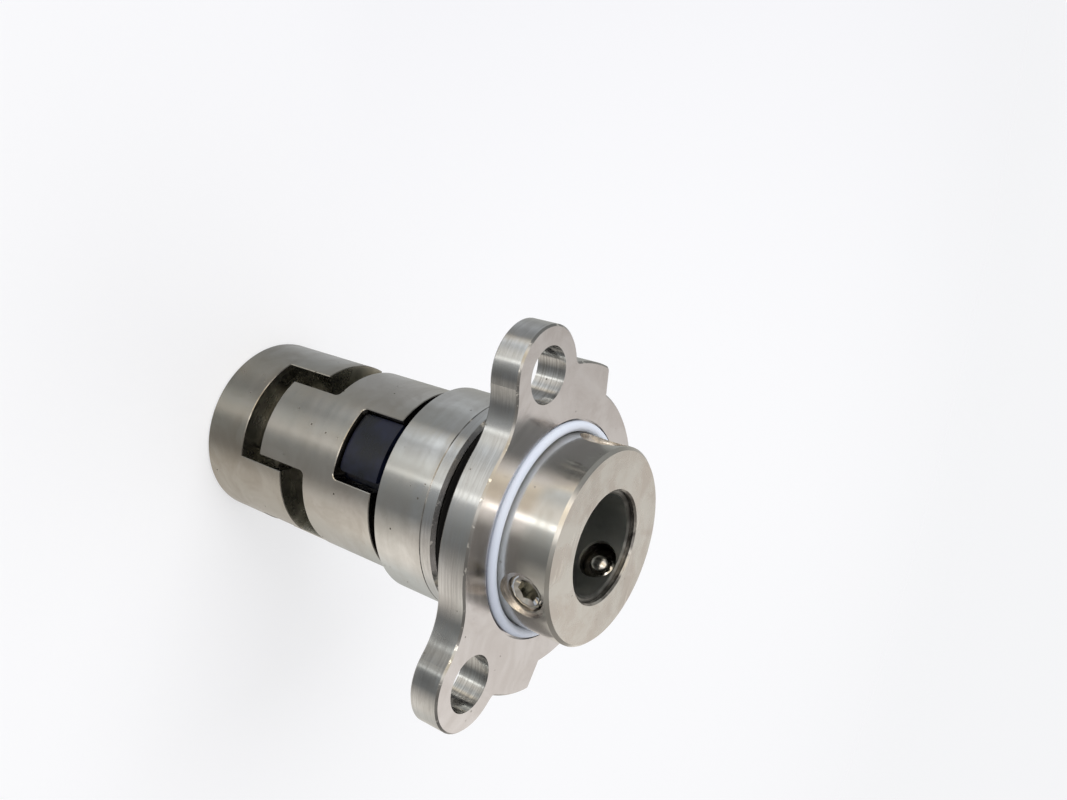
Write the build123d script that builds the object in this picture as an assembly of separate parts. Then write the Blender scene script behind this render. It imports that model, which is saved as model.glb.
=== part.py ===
"""Cartridge mechanical seal for a 16 mm pump shaft.

The shaft axis is +Z. The origin lies on it, in the gland plate's rear face, which bolts on the pump cover.
The lock collar stands above the plate, and the stationary seat, the rotating face, the carrier and the drive
ring follow one another below it, along one thin sleeve. Millimetres throughout.
"""
from build123d import *
import math
import os

os.makedirs("parts", exist_ok=True)

# ---- driving dimensions ----
SHAFT_R = 8.0              # pump shaft, and the bore of the sleeve
SLEEVE_WALL = 0.7
FIT_GAP = 0.05             # radial clearance of pieces fitted on one another
RUN_GAP = 0.3              # clearance between pieces that turn or slide past one another
EDGE_BREAK = 0.3           # chamfer on turned outer edges
FINE_BREAK = 0.12          # light edge break at the housing joint and along milled edges
CUT_PAST = 1.0             # how far a cutting shape reaches past the metal
SAME = 1e-4                # places closer than this are taken as the same when edges are picked

# gland plate
PLATE_T = 5.0
PLATE_STEP = 5.25          # the round rim stands out this far past the seat housing
EAR_COUNT = 3
EAR_REACH = 4.0            # from the rim out to the bolt circle
EAR_R = 7.5
EAR_HOLE_R = 4.4           # clearance hole for an M8 bolt
EAR_BLEND_R = 10.0         # concave blend from an ear into the rim
FIRST_EAR_DEG = 90.0
TAB_STEP = 4.0             # stepped tabs beside the first ear's two neighbours
TAB_FROM_DEG = 15.0        # measured from the axis of the ear the tab adjoins
TAB_TO_DEG = 38.5
TAB_FOOT_DEG = 43.5        # where the tab's slanted end meets the rim
TAB_FOOT_SINK = 0.1        # the foot starts just inside the rim
TAB_CORNER_R = 0.8
GLAND_BORE_GAP = 0.9       # the plate's bore stands this far off the sleeve
RECESS_GAP = 0.35          # from the centring ring to the wall of the plate's front recess
RECESS_DEPTH = 0.8

# gland spigot, O-ring neck and seat housing
NECK_LENGTH = 5.2          # from the plate to the shoulder
SHOULDER_LENGTH = 2.6
SHOULDER_CHAMFER = 0.6
HOUSING_LENGTH = 9.5
HOUSING_WALL = 3.55
SPIGOT_LENGTH = 3.0        # the spigot enters the housing this far and backs the seat
HOUSING_RING_WIRE = 3.5    # section of the housing O-ring
HOUSING_RING_PROUD = 0.4   # it stands this far out of the pilot diameter

# stationary seat
SEAT_PROUD = 1.2           # the lapped face stands this far out of the housing
SEAT_BORE_GAP = 0.7
SEAT_LAND = 0.6            # flat margin round the rotating face's nose
SEAT_CHAMFER = 0.8
SEAT_GROOVE_AT = 3.1       # middle of the O-ring groove, from the seat's back
SEAT_GROOVE_W = 2.6
SEAT_RING_WIRE = 2.0
PIN_R = 1.0
PIN_WALL = 2.1             # from the seat's bore to the middle of the pin
PIN_DEG = 270.0
PIN_IN_SPIGOT = 1.9
PIN_IN_SEAT = 1.5
PIN_END_GAP = 0.2

# centring ring
CENTRING_WIRE = 1.65

# lock collar and set screws
COLLAR_WALL = 6.75
COLLAR_LENGTH = 9.5
COLLAR_CHAMFER = 0.5
SLEEVE_RECESS = 0.9        # the sleeve ends this far inside the collar's front face
SCREW_COUNT = 3
FIRST_SCREW_DEG = 62.5
SCREW_FROM_FRONT = 4.4     # the screws' axes lie this far below the collar's front face
SCREW_R = 2.95             # M6 thread, outside
SCREW_SUNK = 1.1           # the socket end lies this far inside the collar
SCREW_TIP_GAP = 0.2        # from the point to the shaft
SCREW_POINT_R = 1.5
SCREW_POINT_FLAT_R = 0.825
SCREW_POINT_CONE = 0.3
SCREW_POINT_L = 1.3
SCREW_EDGE = 0.35
SCREW_PASS_GAP = 0.1       # the holes in the sleeve are this much wider all round
HEX_AF = 3.0
HEX_DEPTH = 3.0
SPOT_R = 3.8               # spot-faced mouth of each screw hole
SPOT_DEPTH = 0.9

# rotating face
FACE_BORE_GAP = 0.4
FACE_NOSE_STEP = 0.3       # the nose's bore is this much wider than the seat's
FACE_NOSE_SHOULDER = 0.7
FACE_NOSE_LENGTH = 1.4
FACE_WALL = 1.5            # round the O-ring behind the face
FACE_RING_WIRE = 2.2
FACE_RING_DEPTH = 2.4      # counterbore that holds it
FACE_LUG_INSET = 1.0       # the lugs end this far inside the carrier's outside
FACE_LUG_DEG = 40.3
FACE_LUG_MID_DEG = 251.4

# face carrier: a cup with dogs below and windows above
CARRIER_WALL = 2.75
CARRIER_PROUD = 0.1        # the rim stands this far above the face's body
CUP_DEPTH = 11.8
WEB_T = 3.2                # floor of the cup
WEB_BORE_GAP = 0.5
CARRIER_DOG_LENGTH = 10.7
CARRIER_DOG_DEG = 52.0
DOG_COUNT = 3
DOG_MID_DEG = 254.0        # middle of one carrier dog and of the window above it
DOG_ROOT_R = 0.8
WINDOW_DEG = 46.6
WINDOW_DEPTH = 8.4
WINDOW_CORNER_R = 0.9

# drive ring: its dogs stand between the carrier's dogs
DRIVE_TIP_GAP = 5.4        # from its dogs' tips to the carrier's shoulder
DRIVE_NOTCH_DEPTH = 9.8
DRIVE_NOTCH_DEG = 70.4
DRIVE_NOTCH_MID_DEG = 250.5
DRIVE_HUB_LENGTH = 9.2     # below the notches
SLEEVE_IN_HUB = 5.0
SHAFT_RING_AT = 2.0        # middle of the shaft O-ring, from the end of the hub
SHAFT_RING_WIRE = 1.8
SHAFT_GROOVE_W = 2.2

# spring and thrust washer
SPRING_WIRE = 1.2
SPRING_GAP = 0.35          # from the coils to the sleeve
SPRING_TURNS = 5.0
DOG_BORE_GAP = 0.65        # from the coils to the bore of the dogs
WASHER_T = 0.8
WASHER_GAP = 0.4           # from the washer to the bore of the dogs

# ---- radii that follow, from the shaft outwards ----
SLEEVE_R = SHAFT_R + SLEEVE_WALL
SLEEVE_SEAT_R = SLEEVE_R + FIT_GAP
FACE_BORE_R = SLEEVE_R + FACE_BORE_GAP
WEB_BORE_R = SLEEVE_R + WEB_BORE_GAP
SEAT_BORE_R = SLEEVE_R + SEAT_BORE_GAP
GLAND_BORE_R = SLEEVE_R + GLAND_BORE_GAP
PIN_PITCH_R = SEAT_BORE_R + PIN_WALL
SPRING_R = SLEEVE_R + SPRING_GAP + SPRING_WIRE / 2
DOG_BORE_R = SPRING_R + SPRING_WIRE / 2 + DOG_BORE_GAP
WASHER_R = DOG_BORE_R - WASHER_GAP
FACE_RING_R = SLEEVE_R + RUN_GAP + FACE_RING_WIRE
FACE_BODY_R = FACE_RING_R + FACE_WALL
FACE_NOSE_IN_R = SEAT_BORE_R + FACE_NOSE_STEP
FACE_NOSE_OUT_R = FACE_BODY_R - FACE_NOSE_SHOULDER
CUP_R = FACE_BODY_R + RUN_GAP
DRIVE_R = CUP_R + CARRIER_WALL
FACE_LUG_R = DRIVE_R - FACE_LUG_INSET
SEAT_R = FACE_NOSE_OUT_R + SEAT_LAND + SEAT_CHAMFER
HOUSING_BORE_R = SEAT_R + RUN_GAP
HOUSING_R = HOUSING_BORE_R + HOUSING_WALL
NECK_R = HOUSING_R + HOUSING_RING_PROUD - HOUSING_RING_WIRE - FIT_GAP
COLLAR_R = SLEEVE_SEAT_R + COLLAR_WALL
RECESS_R = COLLAR_R + 2 * FIT_GAP + CENTRING_WIRE + RECESS_GAP
PLATE_R = HOUSING_R + PLATE_STEP
EAR_PITCH_R = PLATE_R + EAR_REACH
TAB_R = PLATE_R + TAB_STEP
THREAD_R = SCREW_R + FIT_GAP
SCREW_TIP_AT = SHAFT_R + SCREW_TIP_GAP
SCREW_HEAD_AT = COLLAR_R - SCREW_SUNK
SPOT_AT = COLLAR_R - SPOT_DEPTH

# ---- heights that follow, from the plate's rear face up and down ----
RECESS_FLOOR = PLATE_T - RECESS_DEPTH
COLLAR_BOTTOM = RECESS_FLOOR + RUN_GAP
COLLAR_TOP = COLLAR_BOTTOM + COLLAR_LENGTH
SCREW_Z = COLLAR_TOP - SCREW_FROM_FRONT
SHOULDER_BOTTOM = -NECK_LENGTH - SHOULDER_LENGTH
HOUSING_BOTTOM = SHOULDER_BOTTOM - HOUSING_LENGTH
SPIGOT_BOTTOM = SHOULDER_BOTTOM - SPIGOT_LENGTH
SEAT_GROOVE_Z = SPIGOT_BOTTOM - SEAT_GROOVE_AT
SEAL_PLANE = HOUSING_BOTTOM - SEAT_PROUD
FACE_BODY_TOP = SEAL_PLANE - FACE_NOSE_LENGTH
CARRIER_TOP = FACE_BODY_TOP + CARRIER_PROUD
WINDOW_FLOOR = CARRIER_TOP - WINDOW_DEPTH
CUP_FLOOR = CARRIER_TOP - CUP_DEPTH
SHOULDER_Z = CUP_FLOOR - WEB_T
WASHER_BOTTOM = SHOULDER_Z - WASHER_T
CARRIER_TIP_Z = SHOULDER_Z - CARRIER_DOG_LENGTH
DRIVE_TIP_Z = SHOULDER_Z - DRIVE_TIP_GAP
DRIVE_NOTCH_Z = DRIVE_TIP_Z - DRIVE_NOTCH_DEPTH
DRIVE_BOTTOM = DRIVE_NOTCH_Z - DRIVE_HUB_LENGTH
SLEEVE_BOTTOM = DRIVE_NOTCH_Z - SLEEVE_IN_HUB
SHAFT_RING_Z = DRIVE_BOTTOM + SHAFT_RING_AT


def turned(*profile):
    """Solid of revolution about the shaft axis from (radius, height) points."""
    outline = Polyline(*[(r, 0, z) for r, z in profile], close=True)
    return revolve(make_face(outline), Axis.Z)


def tube(r_out, r_in, z_low, z_high, c_low=0.0, c_high=0.0):
    """Turned tube with optional chamfers on its outer edges."""
    points = [(r_in, z_low), (r_out - c_low, z_low)]
    points += [(r_out, z_low + c_low)] if c_low else []
    points += [(r_out, z_high - c_high), (r_out - c_high, z_high)] if c_high else [(r_out, z_high)]
    return turned(*points, (r_in, z_high))


def sector(r_in, r_out, z_low, z_high, mid_deg, width_deg, low_corner=0.0, high_corner=0.0):
    """Block between two radial planes, with its corners at the lower or upper end rounded."""
    start = mid_deg - width_deg / 2
    inner = CenterArc((0, 0), r_in, start, width_deg)
    outer = CenterArc((0, 0), r_out, start, width_deg)
    face = make_face([inner, outer, Line(inner @ 0, outer @ 0), Line(inner @ 1, outer @ 1)])
    block = Pos(0, 0, z_low) * extrude(face, z_high - z_low)
    for radius, z in ((low_corner, z_low), (high_corner, z_high)):
        if radius:
            ends = [e for e in block.edges().filter_by(GeomType.LINE) if abs(e.center().Z - z) < SAME]
            block = fillet(ends, radius)
    return block


def around(count, make, first_deg=0.0):
    """Copies of one shape evenly spaced about the shaft axis."""
    return [Rot(0, 0, first_deg + k * 360 / count) * make for k in range(count)]


def o_ring(mean_r, wire, z):
    """Round-section ring."""
    return Pos(0, 0, z) * Torus(mean_r, wire / 2)


def save(name, shape):
    """Write one piece as a STEP file of one solid."""
    solid = shape.solids()
    assert len(solid) == 1, (name, len(solid))
    export_step(solid[0], f"parts/{name}.step")


# ---- gland plate: round rim, three bolt ears, two stepped tabs ----
def tab_outline(ear_deg, side):
    """Stepped tab beside one ear; side is +1 or -1 about the axis."""
    def at(radius, degrees):
        a = math.radians(ear_deg + side * degrees)
        return radius * math.cos(a), radius * math.sin(a)
    middle = (TAB_FROM_DEG + TAB_TO_DEG) / 2
    top = ThreePointArc(at(TAB_R, TAB_FROM_DEG), at(TAB_R, middle), at(TAB_R, TAB_TO_DEG))
    end = Line(at(TAB_R, TAB_TO_DEG), at(PLATE_R - TAB_FOOT_SINK, TAB_FOOT_DEG))
    back = Polyline(at(PLATE_R - TAB_FOOT_SINK, TAB_FOOT_DEG), (0, 0), at(TAB_R, TAB_FROM_DEG))
    return make_face([top, end, back])


def ear_blend(side):
    """Filler that blends an ear lying along +X into the rim with a concave arc, on one side."""
    centre_y = EAR_R + EAR_BLEND_R
    centre_x = math.sqrt((PLATE_R + EAR_BLEND_R) ** 2 - centre_y ** 2)
    wedge = make_face(Polyline((0, 0), (centre_x, 0), (centre_x, side * centre_y), close=True))
    return wedge - Pos(centre_x, side * centre_y) * Circle(EAR_BLEND_R)


def gland_flange():
    ear = Pos(EAR_PITCH_R, 0) * Circle(EAR_R) + Pos(EAR_PITCH_R / 2, 0) * Rectangle(EAR_PITCH_R, 2 * EAR_R)
    ear += [ear_blend(1), ear_blend(-1)]
    outline = Circle(PLATE_R) + around(EAR_COUNT, ear, FIRST_EAR_DEG)
    for side in (1, -1):
        outline += tab_outline(FIRST_EAR_DEG + side * 360 / EAR_COUNT, -side)
    plate = extrude(outline, PLATE_T)
    steps = [e for e in plate.edges().filter_by(Axis.Z)
             if abs(math.hypot(e.center().X, e.center().Y) - TAB_R) < SAME and e.center().Y > -PLATE_R / 2]
    plate = fillet(steps, TAB_CORNER_R)
    rims = [e for e in plate.edges() if abs(e.center().Z) < SAME or abs(e.center().Z - PLATE_T) < SAME]
    plate = chamfer(rims, EDGE_BREAK)
    spigot = turned(
        (0, CUT_PAST), (NECK_R, CUT_PAST), (NECK_R, -NECK_LENGTH),
        (HOUSING_R - SHOULDER_CHAMFER, -NECK_LENGTH), (HOUSING_R, -NECK_LENGTH - SHOULDER_CHAMFER),
        (HOUSING_R, SHOULDER_BOTTOM + FINE_BREAK),
        (HOUSING_R - FINE_BREAK, SHOULDER_BOTTOM), (HOUSING_BORE_R - FIT_GAP, SHOULDER_BOTTOM),
        (HOUSING_BORE_R - FIT_GAP, SPIGOT_BOTTOM), (0, SPIGOT_BOTTOM))
    body = plate + spigot
    body -= Cylinder(GLAND_BORE_R, 8 * PLATE_T)
    body -= tube(RECESS_R, 0, RECESS_FLOOR, PLATE_T + CUT_PAST)
    hole = Pos(EAR_PITCH_R, 0, PLATE_T / 2) * Cylinder(EAR_HOLE_R, 2 * PLATE_T)
    body -= around(EAR_COUNT, hole, FIRST_EAR_DEG)
    return body - pin_at(PIN_R + FIT_GAP, SPIGOT_BOTTOM - CUT_PAST, SPIGOT_BOTTOM + PIN_IN_SPIGOT + FIT_GAP)


def pin_at(radius, z_low, z_high):
    """Cylinder on the seat pin's line."""
    a = math.radians(PIN_DEG)
    centre = Pos(PIN_PITCH_R * math.cos(a), PIN_PITCH_R * math.sin(a), (z_low + z_high) / 2)
    return centre * Cylinder(radius, z_high - z_low)


# ---- seat housing and its rings ----
def seat_housing():
    return tube(HOUSING_R, HOUSING_BORE_R, HOUSING_BOTTOM, SHOULDER_BOTTOM, EDGE_BREAK, FINE_BREAK)


def housing_o_ring():
    half = HOUSING_RING_WIRE / 2
    return o_ring(NECK_R + FIT_GAP + half, HOUSING_RING_WIRE, half + FIT_GAP - NECK_LENGTH)


def stationary_seat():
    groove_r = HOUSING_BORE_R - 2 * FIT_GAP - SEAT_RING_WIRE
    low, high = SEAT_GROOVE_Z - SEAT_GROOVE_W / 2, SEAT_GROOVE_Z + SEAT_GROOVE_W / 2
    body = turned(
        (SEAT_BORE_R, SEAL_PLANE), (SEAT_R - SEAT_CHAMFER, SEAL_PLANE), (SEAT_R, SEAL_PLANE + SEAT_CHAMFER),
        (SEAT_R, low), (groove_r, low), (groove_r, high), (SEAT_R, high), (SEAT_R, SPIGOT_BOTTOM),
        (SEAT_BORE_R, SPIGOT_BOTTOM))
    return body - pin_at(PIN_R + FIT_GAP, SPIGOT_BOTTOM - PIN_IN_SEAT - PIN_END_GAP, SPIGOT_BOTTOM + CUT_PAST)


def seat_o_ring():
    return o_ring(HOUSING_BORE_R - FIT_GAP - SEAT_RING_WIRE / 2, SEAT_RING_WIRE, SEAT_GROOVE_Z)


def seat_pin():
    return pin_at(PIN_R, SPIGOT_BOTTOM - PIN_IN_SEAT, SPIGOT_BOTTOM + PIN_IN_SPIGOT)


def centring_ring():
    """Round ring around the collar, lying flat on the floor of the plate's recess."""
    half = CENTRING_WIRE / 2
    ring = o_ring(COLLAR_R + 2 * FIT_GAP + half, CENTRING_WIRE, RECESS_FLOOR + half - FIT_GAP)
    return ring - Pos(0, 0, RECESS_FLOOR - PLATE_T / 2) * Cylinder(PLATE_R, PLATE_T)


# ---- rotor: sleeve, collar, set screws, drive ring ----
def screw_hole(radius, r_from, r_to):
    """Cylinder on each set screw's line, between two distances from the shaft axis."""
    stub = Pos((r_from + r_to) / 2, 0, SCREW_Z) * Rot(0, 90, 0) * Cylinder(radius, r_to - r_from)
    return around(SCREW_COUNT, stub, FIRST_SCREW_DEG)


def shaft_sleeve():
    top = COLLAR_TOP - SLEEVE_RECESS
    body = turned(
        (SHAFT_R, SLEEVE_BOTTOM), (SLEEVE_R, SLEEVE_BOTTOM), (SLEEVE_R, top),
        (SHAFT_R + EDGE_BREAK, top), (SHAFT_R, top - EDGE_BREAK))
    return body - screw_hole(THREAD_R + SCREW_PASS_GAP, SHAFT_R - SCREW_R, SLEEVE_R + SCREW_R)


def lock_collar():
    body = turned(
        (SLEEVE_SEAT_R, COLLAR_BOTTOM), (COLLAR_R - EDGE_BREAK, COLLAR_BOTTOM),
        (COLLAR_R, COLLAR_BOTTOM + EDGE_BREAK),
        (COLLAR_R, COLLAR_TOP - COLLAR_CHAMFER), (COLLAR_R - COLLAR_CHAMFER, COLLAR_TOP),
        (SLEEVE_SEAT_R + EDGE_BREAK, COLLAR_TOP), (SLEEVE_SEAT_R, COLLAR_TOP - EDGE_BREAK))
    body -= screw_hole(THREAD_R, SHAFT_R, COLLAR_R + CUT_PAST)
    return body - screw_hole(SPOT_R, SPOT_AT, COLLAR_R + CUT_PAST)


def set_screw(index):
    """Grub screw with a hexagon socket, its point towards the shaft."""
    length = SCREW_HEAD_AT - SCREW_TIP_AT
    profile = Polyline(
        (0, 0, 0), (SCREW_POINT_FLAT_R, 0, 0), (SCREW_POINT_R, 0, SCREW_POINT_CONE),
        (SCREW_R, 0, SCREW_POINT_L), (SCREW_R, 0, length - SCREW_EDGE),
        (SCREW_R - SCREW_EDGE, 0, length), (0, 0, length), close=True)
    body = revolve(make_face(profile), Axis.Z)
    socket = extrude(RegularPolygon(HEX_AF / 2, 6, major_radius=False), HEX_DEPTH)
    body -= Pos(0, 0, length - HEX_DEPTH) * socket
    turn = Rot(0, 0, FIRST_SCREW_DEG + index * 360 / SCREW_COUNT)
    return turn * Pos(SCREW_TIP_AT, 0, SCREW_Z) * Rot(0, 90, 0) * body


def break_milled_edges(body, *turned_heights):
    """Lightly break the edges that milling leaves on the outside of the drive ring or the carrier."""
    def milled(edge):
        outside = all(abs(math.hypot(p.X, p.Y) - DRIVE_R) < SAME for p in (edge @ 0, edge @ 0.5, edge @ 1))
        return outside and not any(abs(edge.center().Z - z) < SAME for z in turned_heights)
    return chamfer([e for e in body.edges() if milled(e)], FINE_BREAK)


def drive_ring():
    """Thick ring with three dogs; its notches are milled right through the wall."""
    groove_r = SHAFT_R + SHAFT_RING_WIRE + 2 * FIT_GAP
    low, high = SHAFT_RING_Z - SHAFT_GROOVE_W / 2, SHAFT_RING_Z + SHAFT_GROOVE_W / 2
    body = turned(
        (SHAFT_R, DRIVE_BOTTOM + EDGE_BREAK), (SHAFT_R + EDGE_BREAK, DRIVE_BOTTOM),
        (DRIVE_R - EDGE_BREAK, DRIVE_BOTTOM), (DRIVE_R, DRIVE_BOTTOM + EDGE_BREAK), (DRIVE_R, DRIVE_TIP_Z),
        (DOG_BORE_R, DRIVE_TIP_Z), (DOG_BORE_R, DRIVE_NOTCH_Z), (SLEEVE_SEAT_R, DRIVE_NOTCH_Z),
        (SLEEVE_SEAT_R, SLEEVE_BOTTOM), (SHAFT_R, SLEEVE_BOTTOM),
        (SHAFT_R, high), (groove_r, high), (groove_r, low), (SHAFT_R, low))
    notch = sector(DOG_BORE_R - CUT_PAST, DRIVE_R + CUT_PAST, DRIVE_NOTCH_Z, DRIVE_TIP_Z + CUT_PAST,
                   DRIVE_NOTCH_MID_DEG, DRIVE_NOTCH_DEG)
    return break_milled_edges(body - around(DOG_COUNT, notch), DRIVE_BOTTOM + EDGE_BREAK)


def shaft_o_ring():
    return o_ring(SHAFT_R + FIT_GAP + SHAFT_RING_WIRE / 2, SHAFT_RING_WIRE, SHAFT_RING_Z)


# ---- carrier, rotating face, spring ----
def face_carrier():
    """Cup with three dogs below and three windows above; it hands the drive on to the face."""
    body = turned(
        (WEB_BORE_R, SHOULDER_Z), (DOG_BORE_R, SHOULDER_Z), (DOG_BORE_R, CARRIER_TIP_Z),
        (DRIVE_R, CARRIER_TIP_Z), (DRIVE_R, CARRIER_TOP - FINE_BREAK), (DRIVE_R - FINE_BREAK, CARRIER_TOP),
        (CUP_R, CARRIER_TOP), (CUP_R, CUP_FLOOR), (WEB_BORE_R, CUP_FLOOR))
    between = sector(DOG_BORE_R - CUT_PAST, DRIVE_R + CUT_PAST, CARRIER_TIP_Z - CUT_PAST, SHOULDER_Z,
                     DOG_MID_DEG + 180 / DOG_COUNT, 360 / DOG_COUNT - CARRIER_DOG_DEG, high_corner=DOG_ROOT_R)
    window = sector(CUP_R - CUT_PAST, DRIVE_R + CUT_PAST, WINDOW_FLOOR, CARRIER_TOP + CUT_PAST,
                    DOG_MID_DEG, WINDOW_DEG, low_corner=WINDOW_CORNER_R)
    body -= around(DOG_COUNT, between) + around(DOG_COUNT, window)
    return break_milled_edges(body, CARRIER_TOP - FINE_BREAK)


def rotating_face():
    """Hard dark ring with a raised nose, and lugs that stand in the carrier's windows."""
    recess_top = CUP_FLOOR + FACE_RING_DEPTH
    body = turned(
        (FACE_RING_R, CUP_FLOOR), (FACE_BODY_R, CUP_FLOOR), (FACE_BODY_R, FACE_BODY_TOP),
        (FACE_NOSE_OUT_R, FACE_BODY_TOP),
        (FACE_NOSE_OUT_R, SEAL_PLANE), (FACE_NOSE_IN_R, SEAL_PLANE), (FACE_NOSE_IN_R, FACE_BODY_TOP),
        (FACE_BORE_R, FACE_BODY_TOP), (FACE_BORE_R, recess_top), (FACE_RING_R, recess_top))
    lug = sector(FACE_BODY_R - CUT_PAST, FACE_LUG_R, WINDOW_FLOOR + RUN_GAP, FACE_BODY_TOP,
                 FACE_LUG_MID_DEG, FACE_LUG_DEG, low_corner=WINDOW_CORNER_R)
    return body + around(DOG_COUNT, lug)


def face_o_ring():
    return o_ring(FACE_RING_R - FIT_GAP - FACE_RING_WIRE / 2, FACE_RING_WIRE,
                  CUP_FLOOR + FIT_GAP + FACE_RING_WIRE / 2)


def thrust_washer():
    return tube(WASHER_R, FACE_BORE_R, WASHER_BOTTOM, SHOULDER_Z)


def drive_spring():
    """Coil spring with ground ends, from the drive ring's hub up to the thrust washer."""
    inset = SPRING_WIRE / 4
    height = WASHER_BOTTOM - DRIVE_NOTCH_Z - 2 * inset
    path = Helix(height / SPRING_TURNS, height, SPRING_R)
    wire = Plane(path @ 0, z_dir=path % 0) * Circle(SPRING_WIRE / 2)
    coil = Pos(0, 0, DRIVE_NOTCH_Z + inset) * sweep(wire, path, is_frenet=True)
    return coil & tube(DOG_BORE_R, SLEEVE_R, DRIVE_NOTCH_Z, WASHER_BOTTOM)


PIECES = {
    "gland_flange": gland_flange, "seat_housing": seat_housing, "housing_o_ring": housing_o_ring,
    "stationary_seat": stationary_seat, "seat_o_ring": seat_o_ring, "seat_pin": seat_pin,
    "centring_ring": centring_ring, "shaft_sleeve": shaft_sleeve, "lock_collar": lock_collar,
    "drive_ring": drive_ring, "shaft_o_ring": shaft_o_ring, "face_carrier": face_carrier,
    "rotating_face": rotating_face, "face_o_ring": face_o_ring, "thrust_washer": thrust_washer,
    "drive_spring": drive_spring,
}
for piece, build in PIECES.items():
    save(piece, build())
for screw in range(SCREW_COUNT):
    save(f"set_screw_{screw + 1}", set_screw(screw))
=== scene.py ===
"""Finish, light and camera for a cartridge shaft seal: metres, shaft along Z, drive ring at the bottom."""
import math

import bpy
from mathutils import Matrix, Vector


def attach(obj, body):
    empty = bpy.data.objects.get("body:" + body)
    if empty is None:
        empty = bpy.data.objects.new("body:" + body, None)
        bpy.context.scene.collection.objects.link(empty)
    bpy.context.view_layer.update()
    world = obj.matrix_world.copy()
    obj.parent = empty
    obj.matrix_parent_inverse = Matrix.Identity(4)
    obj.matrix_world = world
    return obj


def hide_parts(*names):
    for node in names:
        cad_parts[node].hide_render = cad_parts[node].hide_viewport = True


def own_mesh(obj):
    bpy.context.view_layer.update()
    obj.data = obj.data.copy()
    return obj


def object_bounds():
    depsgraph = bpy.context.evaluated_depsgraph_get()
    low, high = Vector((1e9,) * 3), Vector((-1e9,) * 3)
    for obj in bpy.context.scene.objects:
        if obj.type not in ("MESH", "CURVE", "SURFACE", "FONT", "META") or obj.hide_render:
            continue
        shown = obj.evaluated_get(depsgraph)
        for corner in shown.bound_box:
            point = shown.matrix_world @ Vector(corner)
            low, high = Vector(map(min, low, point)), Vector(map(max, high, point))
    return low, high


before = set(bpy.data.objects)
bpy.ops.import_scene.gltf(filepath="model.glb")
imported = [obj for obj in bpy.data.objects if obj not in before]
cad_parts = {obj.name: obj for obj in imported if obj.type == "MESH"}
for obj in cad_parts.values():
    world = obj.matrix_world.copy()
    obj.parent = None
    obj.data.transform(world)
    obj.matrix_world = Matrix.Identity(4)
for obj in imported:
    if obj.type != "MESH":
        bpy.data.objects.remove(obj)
cad_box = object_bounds()


# ---- Gland plate ----
# The eared plate that bolts on the pump cover, with the O-ring neck and the spigot behind it. It is cut from
# stainless bar: its round rim is turned, its ears are milled all round, and its faces are ground to a gloss.
def new_sockets(group, ins, outs):
    """Named number inputs (with their defaults) and named outputs of a node group."""
    for name, value in ins.items():
        socket = group.interface.new_socket(name, in_out="INPUT", socket_type="NodeSocketFloat")
        socket.default_value = value
    for name in outs:
        group.interface.new_socket(name, in_out="OUTPUT", socket_type="NodeSocketFloat")


def node(tree, kind, put=None, **settings):
    """Add one node: `put` gives its inputs values or links by name or number, `settings` its own choices."""
    n = tree.nodes.new(kind)
    for key, value in settings.items():
        setattr(n, key, value)
    for key, value in (put or {}).items():
        if isinstance(value, bpy.types.NodeSocket):
            tree.links.new(value, n.inputs[key])
        else:
            n.inputs[key].default_value = value
    return n


def maths(tree, operation, *values, clamp=False):
    put = dict(enumerate(values))
    return node(tree, "ShaderNodeMath", put, operation=operation, use_clamp=clamp).outputs[0]


def times(tree, a, b):
    return maths(tree, "MULTIPLY", a, b)


def plus(tree, a, b):
    return maths(tree, "ADD", a, b)


def minus(tree, a, b, clamp=False):
    return maths(tree, "SUBTRACT", a, b, clamp=clamp)


def remap(tree, value, low, high, to_low=0.0, to_high=1.0):
    """Smooth step of a value from one range to another."""
    put = {"Value": value, "From Min": low, "From Max": high, "To Min": to_low, "To Max": to_high}
    return node(tree, "ShaderNodeMapRange", put, interpolation_type="SMOOTHSTEP").outputs[0]


def blend_colour(tree, amount, a, b):
    return node(tree, "ShaderNodeMix", {0: amount, 6: a, 7: b}, data_type="RGBA").outputs[2]


def tinted(colour, *parts):
    """A colour times one factor, or times one for each of red, green and blue."""
    return (*[c * k for c, k in zip(colour, parts * (3 // len(parts)))], 1.0)


def from_axis(tree, xyz):
    """Distance from the shaft axis."""
    return maths(tree, "SQRT", maths(tree, "ADD", maths(tree, "POWER", xyz.outputs[0], 2.0),
                                     maths(tree, "POWER", xyz.outputs[1], 2.0)))


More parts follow.
